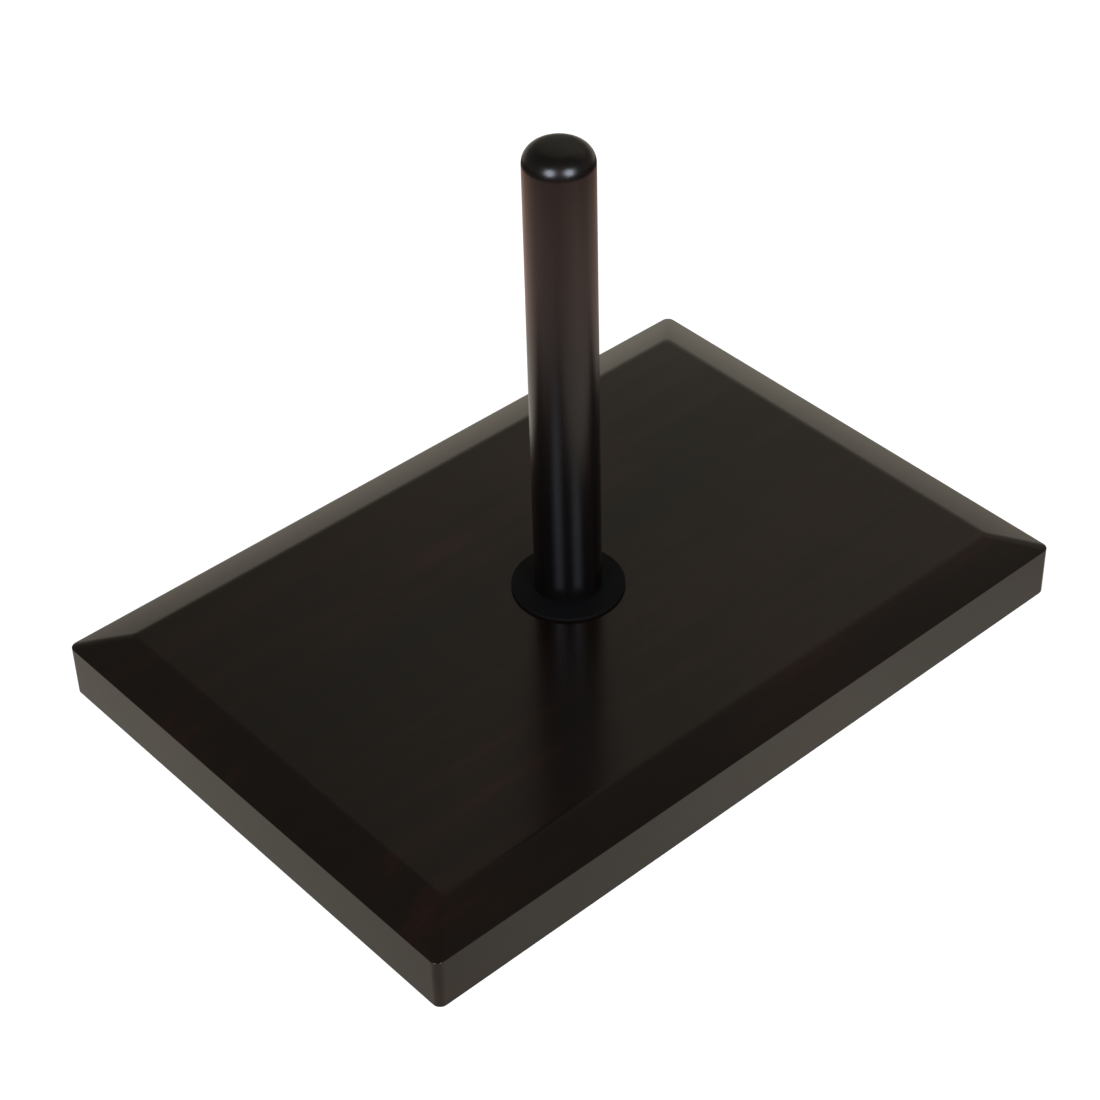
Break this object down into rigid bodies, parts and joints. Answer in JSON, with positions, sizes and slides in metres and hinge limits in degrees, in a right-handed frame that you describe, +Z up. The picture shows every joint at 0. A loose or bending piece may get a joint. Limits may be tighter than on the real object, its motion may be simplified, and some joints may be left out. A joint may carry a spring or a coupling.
{
  "type": "paper towel holder",
  "caption": "Free-standing paper towel holder: bevelled rectangular plate of dark lacquered wood with a plain round upright post that screws in by hand, on rubber feet.",
  "frame": {"origin": "on the post's axis, at the surface that the feet stand on", "axes": "+X along the plate's long side, +Y along its short side towards the back, +Z up along the post"},
  "size_m": [0.29, 0.2, 0.208],
  "materials": {
    "lacquered_wood": "espresso-stained wood under satin-gloss lacquer",
    "black_rubber": "matt black moulded rubber",
    "zinc_plated_steel": "bright zinc plate"
  },
  "bodies": {
    "base": {"base_plate": "lacquered_wood", "tee_nut": "zinc_plated_steel", "foot_front_left": "black_rubber", "foot_front_right": "black_rubber", "foot_back_left": "black_rubber", "foot_back_right": "black_rubber"},
    "washer": {"post_washer": "black_rubber"},
    "post": {"post": "lacquered_wood", "hanger_bolt": "zinc_plated_steel"}
  },
  "joints": [
    {"name": "post_rise", "type": "slide", "parent": "base", "child": "washer", "axis": [0, 0, 1], "range_m": [0, 0.0138]},
    {"name": "post_turn", "type": "hinge", "parent": "washer", "child": "post", "pos_m": [0, 0, 0.028], "axis": [0, 0, 1], "range_deg": [0, 3960]}
  ],
  "couplings": [
    {"joint": "post_rise", "follows": "post_turn", "m_per_rad": 0.00019894}
  ]
}
